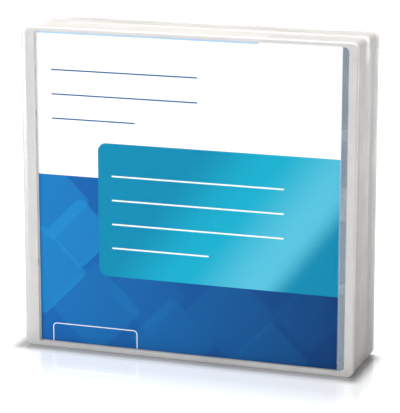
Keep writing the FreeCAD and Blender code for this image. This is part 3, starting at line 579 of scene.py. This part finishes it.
def floor_finish():
    """White acrylic sheet: white to the camera wherever light reaches it, with a soft reflection. Its
    whiteness is painted
    by distance: a painted shade near the object's foot, which darkens the contact shadow there, and painted
    light away from it, sooner to the sides, which pales the shadows cast there. Far from the object, where
    the lamps fall off, it is lighter so that it stays white."""
    material, tree = blank_material("white_acrylic_sheet")
    _, x, y, _ = places(tree)
    half_width = high("case_front_shell")[0]
    across = add(tree, "Math", (x,), operation="ABSOLUTE")
    # Distance to the side counts more, so that the painted light comes sooner beside the object.
    side = add(tree, "Math", (across, SIDE_PACE, -SIDE_PACE * half_width), operation="MULTIPLY_ADD")
    along = add(tree, "Math", (y,), operation="ABSOLUTE")
    depth = add(tree, "Math", (along, high("case_back_shell")[1]), operation="SUBTRACT")
    away = add(tree, "Math", (side, depth), operation="MAXIMUM")
    # Painted shade near the object's foot, rising to painted light away from it.
    near = add(tree, "MapRange", {
        "Value": away, "From Min": NEAR, "From Max": CLEAR, "To Min": FOOT_WHITE, "To Max": OPEN_WHITE,
    })
    far = add(tree, "MapRange", {"Value": away, "From Min": CLEAR, "From Max": FAR, "To Max": FAR_WHITE})
    level = add(tree, "Math", (near, far), operation="ADD")
    white = add(tree, "CombineColor", (level, level, level))
    seen = seen_directly(tree)
    colour = add(tree, "Mix", {FACTOR: seen, COLOUR_A: FLOOR_BOUNCE, COLOUR_B: white}, data_type="RGBA")
    diffuse = add(tree, "BsdfDiffuse", {"Color": colour})
    gloss = add(tree, "BsdfGlossy", {"Color": WHITE, "Roughness": 0.06})
    mixed = add(tree, "MixShader", (FLOOR_GLOSS, diffuse, gloss))
    add(tree, "OutputMaterial", (mixed,))
    return material


def studio_world():
    """White behind the object, and an even grey light from all round."""
    world = bpy.data.worlds.new("studio_world")
    world.use_nodes = True
    tree = world.node_tree
    tree.nodes.clear()
    seen = seen_directly(tree)
    colour = add(tree, "Mix", {FACTOR: seen, COLOUR_A: ROOM_LIGHT, COLOUR_B: WHITE}, data_type="RGBA")
    add(tree, "OutputWorld", (add(tree, "Background", (colour,)),))
    bpy.context.scene.world = world


def softbox(name, place, aim, size, power):
    """A rectangular soft lamp that points at a spot."""
    lamp = bpy.data.lights.new(name, "AREA")
    lamp.shape = "RECTANGLE"
    lamp.size, lamp.size_y = size
    lamp.energy = power
    holder = bpy.data.objects.new(name, lamp)
    bpy.context.scene.collection.objects.link(holder)
    holder.location = place
    holder.rotation_euler = (Vector(aim) - Vector(place)).to_track_quat("-Z", "Y").to_euler()


def catalogue_camera(settings):
    """The camera, at its distance from the target along a line turned by the azimuth from the front and
    raised by the elevation."""
    azimuth, elevation = settings.azimuth, settings.elevation
    toward = Vector((
        math.sin(azimuth) * math.cos(elevation),
        -math.cos(azimuth) * math.cos(elevation),
        math.sin(elevation),
    ))
    data = bpy.data.cameras.new("catalogue_camera")
    data.lens = settings.lens
    data.clip_start = 0.05
    camera = bpy.data.objects.new("catalogue_camera", data)
    bpy.context.scene.collection.objects.link(camera)
    camera.location = Vector(CAMERA_TARGET) + toward * settings.distance
    camera.rotation_euler = (-toward).to_track_quat("-Z", "Y").to_euler()
    bpy.context.scene.camera = camera


# The door's spring

STEPS_PER_TURN = 24
WIRE_SIDES = 10


def door_coil(wire, turns):
    """A coil spring's wire as a closed tube. A point's distance from the coil's axis is the coil's radius
    plus the wire's radius times the cosine of the angle round the wire, and its height is a rise that grows
    evenly with the turn plus the wire's radius times the sine."""
    foot, head = (np.array(corner, float) for corner in BOX["door_spring"])
    middle = (foot + head) / 2
    turn = np.linspace(0.0, 2 * math.pi * turns, turns * STEPS_PER_TURN + 1)[:, None]
    around = np.linspace(0.0, 2 * math.pi, WIRE_SIDES, endpoint=False)[None, :]
    out = (head[0] - foot[0] - wire) / 2 + wire / 2 * np.cos(around)
    rise = (head[2] - foot[2] - wire) * turn / turn.max()
    x = middle[0] + out * np.cos(turn)
    y = middle[1] + out * np.sin(turn)
    z = foot[2] + wire / 2 + rise + wire / 2 * np.sin(around)
    points = np.stack(np.broadcast_arrays(x, y, z), axis=-1).reshape(-1, 3)
    index = np.arange(points.shape[0]).reshape(turn.size, around.size)
    after = np.roll(index, -1, axis=1)
    sides = np.stack([index[:-1], index[1:], after[1:], after[:-1]], axis=-1).reshape(-1, 4)
    ends = [index[0].tolist(), index[-1][::-1].tolist()]
    mesh = bpy.data.meshes.new("door_coil")
    mesh.from_pydata(points.tolist(), [], sides.tolist() + ends)
    mesh.shade_smooth()
    mesh.update()
    coil = bpy.data.objects.new("door_coil", mesh)
    bpy.context.scene.collection.objects.link(coil)
    return coil


# Operators

class TAPE_OT_case(bpy.types.Operator):
    """Finishes the two halves of the library case"""
    bl_idname = "tape.case"
    bl_label = "Library case"

    def execute(self, context):
        finish(frosted_polypropylene(context.scene.tape_case), "case_front_shell", "case_back_shell")
        return {"FINISHED"}


class TAPE_OT_card(bpy.types.Operator):
    """Prints the card behind the front panel"""
    bl_idname = "tape.card"
    bl_label = "Printed card"

    def execute(self, context):
        finish(printed_card(context.scene.tape_card), "insert_card")
        return {"FINISHED"}


class TAPE_OT_cartridge(bpy.types.Operator):
    """Finishes the cartridge's shells, slide, door, chip and screws"""
    bl_idname = "tape.cartridge"
    bl_label = "Cartridge"

    def execute(self, context):
        settings = context.scene.tape_cartridge
        shell = moulded(
            "eroded_polycarbonate", settings.shell, settings.shell_grain / MM, 0.62,
            depth=0.02, tone=0.02, specular=0.22,
        )
        slide = moulded("smooth_acetal_slide", settings.slide, 0.8, 0.35, depth=0.004)
        door = moulded("smooth_polycarbonate_door", settings.door, 0.8, 0.4, depth=0.004)
        chip = moulded("potted_epoxy_carrier", linear("#15181C"), 0.5, 0.3, depth=0.004, tone=0.02)
        screws = drawn_steel("zinc_plated_steel", context.scene.tape_reel.steel, 0.38)
        finish(shell, "cartridge_upper_shell", "cartridge_lower_shell")
        finish(slide, "write_protect_slide")
        finish(door, "leader_door")
        finish(chip, "memory_chip")
        finish(screws, "shell_screws")
        return {"FINISHED"}


class TAPE_OT_door_spring(bpy.types.Operator):
    """Makes the door's spring as a coil"""
    bl_idname = "tape.door_spring"
    bl_label = "Door spring"

    def execute(self, context):
        settings = context.scene.tape_reel
        coil = door_coil(settings.door_wire, settings.door_turns)
        coil.data.materials.append(drawn_steel("door_spring_wire", settings.steel, 0.25))
        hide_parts("door_spring")
        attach(coil, "base")
        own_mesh(coil)
        return {"FINISHED"}


class TAPE_OT_reel(bpy.types.Operator):
    """Finishes the reel, the wound tape, the brake and the steel parts inside the cartridge"""
    bl_idname = "tape.reel"
    bl_label = "Reel and brake"

    def execute(self, context):
        settings = context.scene.tape_reel
        reel = moulded("glass_filled_reel_plastic", settings.reel, 0.4, 0.5, depth=0.01)
        acetal = moulded("natural_acetal", settings.brake, 0.7, 0.36, depth=0.004)
        clip = moulded("black_acetal_clip", linear("#1A1A1B"), 0.6, 0.35, depth=0.004, tone=0.02)
        finish(reel, "reel_hub", "reel_upper_flange")
        finish(wound_film(settings), "tape_pack", "tape_end")
        finish(acetal, "brake_plate", "release_spider")
        finish(clip, "tape_clip")
        finish(drawn_steel("spring_wire_steel", settings.steel, 0.25), "brake_spring", "pin_spring")
        finish(drawn_steel("turned_stainless_steel", settings.steel, 0.2), "leader_pin")
        finish(drawn_steel("stamped_stainless_steel", settings.steel, 0.3, spacing=0.4), "hub_washer")
        return {"FINISHED"}


class TAPE_OT_stage(bpy.types.Operator):
    """Sets up the floor, the lamps, the background and the camera"""
    bl_idname = "tape.stage"
    bl_label = "Stage"

    def execute(self, context):
        scene = context.scene
        floor = studio_floor(scene.tape_stage.floor_size)
        floor.data.materials.append(floor_finish())
        studio_world()
        for lamp in LAMPS:
            softbox(*lamp)
        catalogue_camera(scene.tape_stage)
        scene.view_settings.view_transform = "Standard"
        scene.cycles.transparent_max_bounces = 32
        return {"FINISHED"}


class TAPE_PT_panel(bpy.types.Panel):
    """Lists the steps that finish the tape cartridge and its case"""
    bl_idname = "TAPE_PT_panel"
    bl_label = "Tape cartridge"
    bl_space_type = "VIEW_3D"
    bl_region_type = "UI"
    bl_category = "Tape"

    def draw(self, context):
        for operator in OPERATORS:
            self.layout.operator(operator.bl_idname)


OPERATORS = (
    TAPE_OT_case, TAPE_OT_card, TAPE_OT_cartridge, TAPE_OT_door_spring, TAPE_OT_reel, TAPE_OT_stage,
)
SETTINGS = {
    "tape_case": TapeCaseSettings,
    "tape_card": TapeCardSettings,
    "tape_cartridge": TapeCartridgeSettings,
    "tape_reel": TapeReelSettings,
    "tape_stage": TapeStageSettings,
}


def register():
    for name, group in SETTINGS.items():
        bpy.utils.register_class(group)
        setattr(bpy.types.Scene, name, bpy.props.PointerProperty(type=group))
    for operator in OPERATORS:
        bpy.utils.register_class(operator)
    bpy.utils.register_class(TAPE_PT_panel)


def unregister():
    bpy.utils.unregister_class(TAPE_PT_panel)
    for operator in reversed(OPERATORS):
        bpy.utils.unregister_class(operator)
    for name, group in reversed(SETTINGS.items()):
        delattr(bpy.types.Scene, name)
        bpy.utils.unregister_class(group)


def main():
    """Runs the steps in order."""
    register()
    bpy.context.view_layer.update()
    for operator in OPERATORS:
        group, action = operator.bl_idname.split(".")
        getattr(getattr(bpy.ops, group), action)()


if __name__ == "__main__":
    main()
